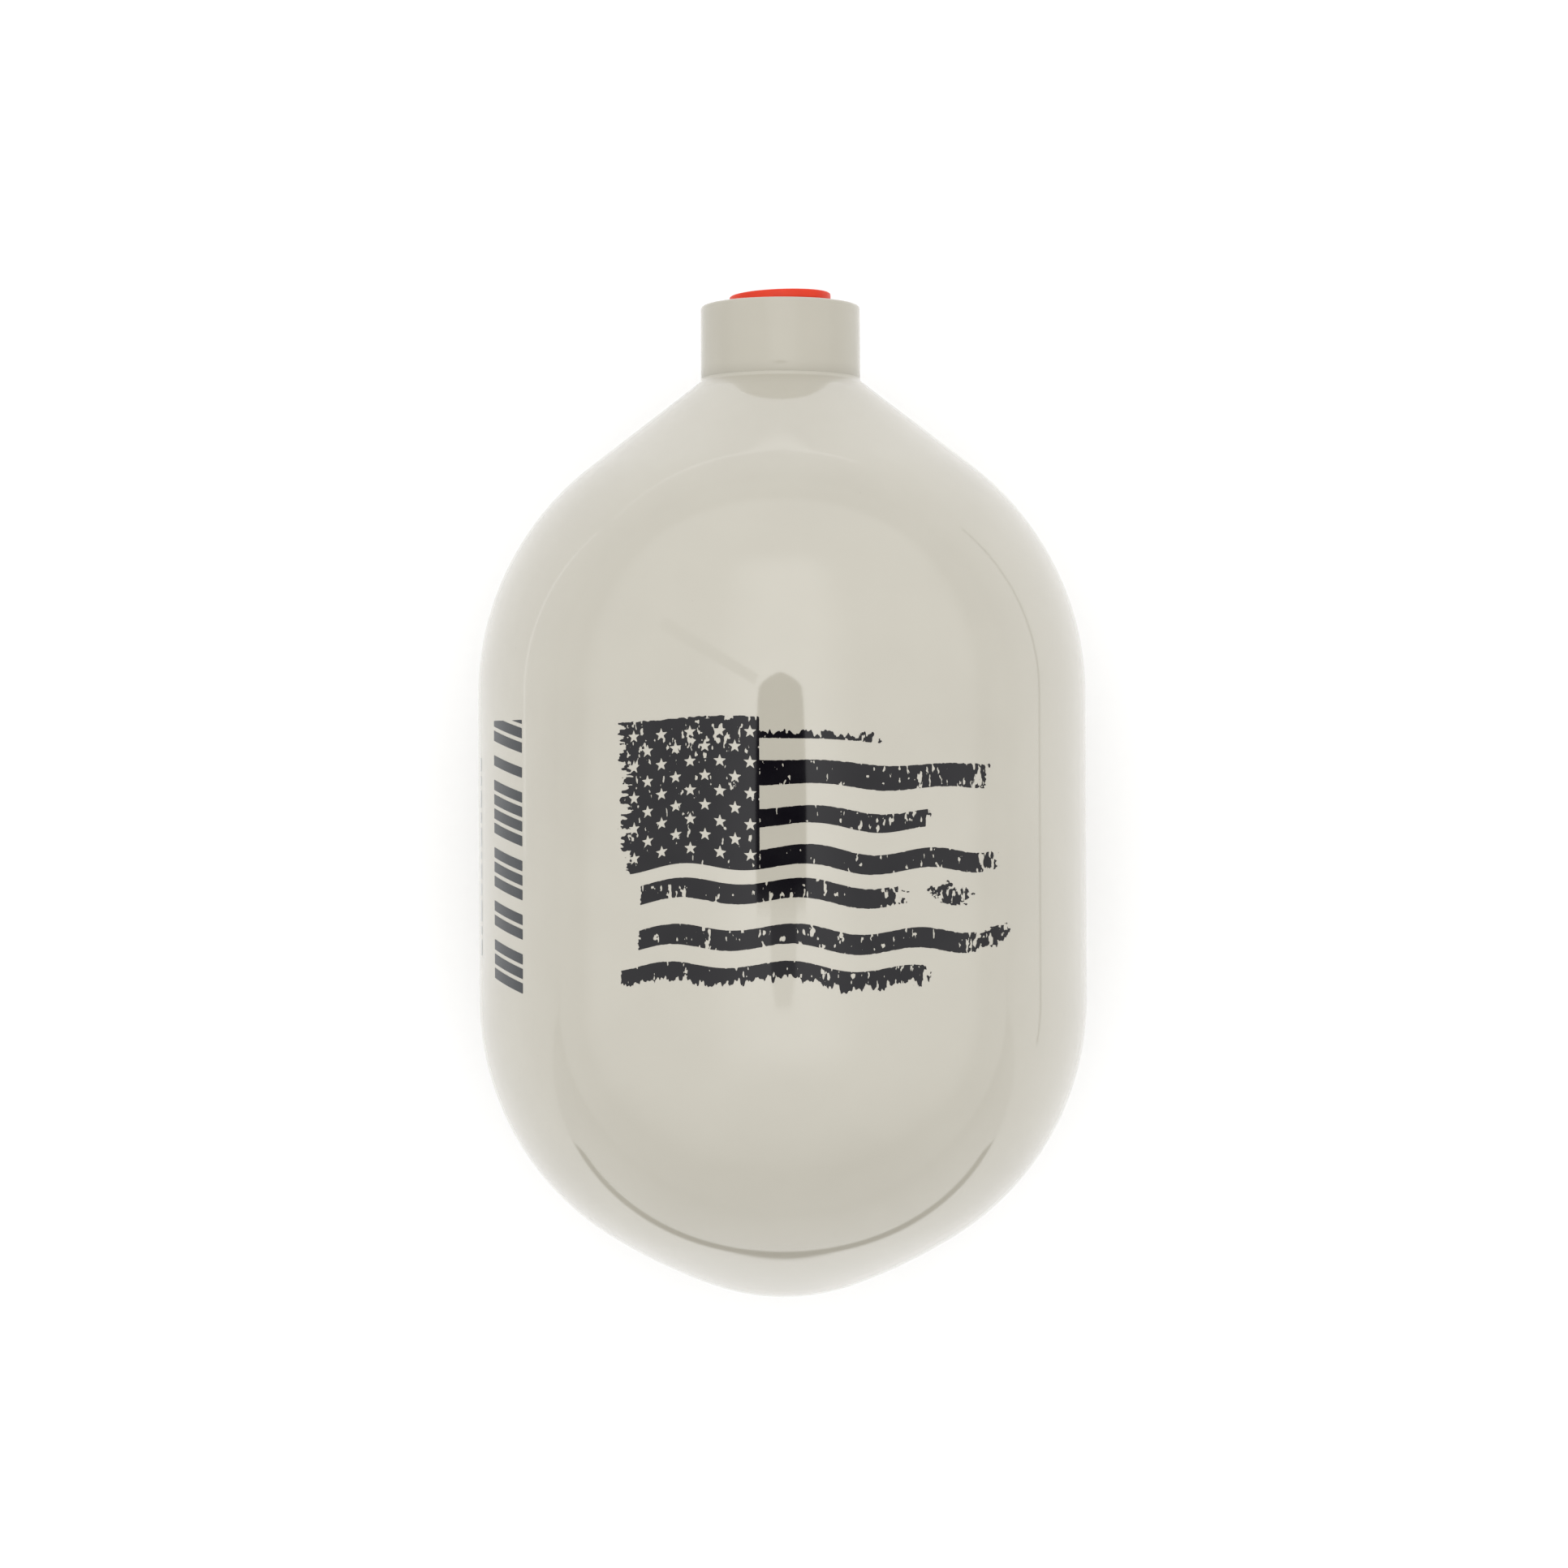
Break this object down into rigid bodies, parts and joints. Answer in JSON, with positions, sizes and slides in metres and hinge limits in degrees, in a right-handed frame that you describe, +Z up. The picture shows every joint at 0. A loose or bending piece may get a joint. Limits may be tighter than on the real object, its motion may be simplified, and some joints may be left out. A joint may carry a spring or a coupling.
{
  "type": "compressed air bottle",
  "caption": "Compact composite-wrapped air bottle with a round base, a coned shoulder, a short threaded neck with a pull-out plug, and printed decals on a painted barrel.",
  "frame": {"origin": "on the surface that the bottle lies on, under the middle of the bottle and its plug", "axes": "+Y runs along the bottle's axis towards the neck, +Z is up through the banner, +X is to the banner's right"},
  "size_m": [0.116, 0.1918, 0.1161],
  "materials": {
    "liner_aluminium": "bare inside, with a machined thread; painted on the outside of the neck",
    "barrier_glass": "resin-bonded glass fibre",
    "inner_helical_carbon": "resin-bonded carbon fibre, wound at a low angle over both domes",
    "inner_hoop_carbon": "resin-bonded carbon fibre, wound round the barrel",
    "outer_helical_carbon": "resin-bonded carbon fibre, wound at a low angle over both domes",
    "outer_hoop_carbon": "resin-bonded carbon fibre, wound round the barrel",
    "painted_wrap": "glass fibre under glossy warm grey paint and clear coat",
    "banner_film": "black print under clear coat",
    "side_mark_film": "dark grey print under clear coat",
    "fine_print_film": "pale grey print under clear coat",
    "plug_plastic": "soft red plastic with a slight sheen"
  },
  "bodies": {
    "bottle": {"liner": "liner_aluminium", "barrier_wrap": "barrier_glass", "inner_helical_wrap": "inner_helical_carbon", "inner_hoop_wrap": "inner_hoop_carbon", "outer_helical_wrap": "outer_helical_carbon", "outer_hoop_wrap": "outer_hoop_carbon", "outer_wrap": "painted_wrap", "banner_decal": "banner_film", "side_mark_decal": "side_mark_film", "fine_print_decal": "fine_print_film"},
    "plug": {"thread_plug": "plug_plastic"}
  },
  "joints": [
    {"name": "plug_pull", "type": "slide", "parent": "bottle", "child": "plug", "axis": [0, 1, 0], "range_m": [0, 0.05]}
  ]
}
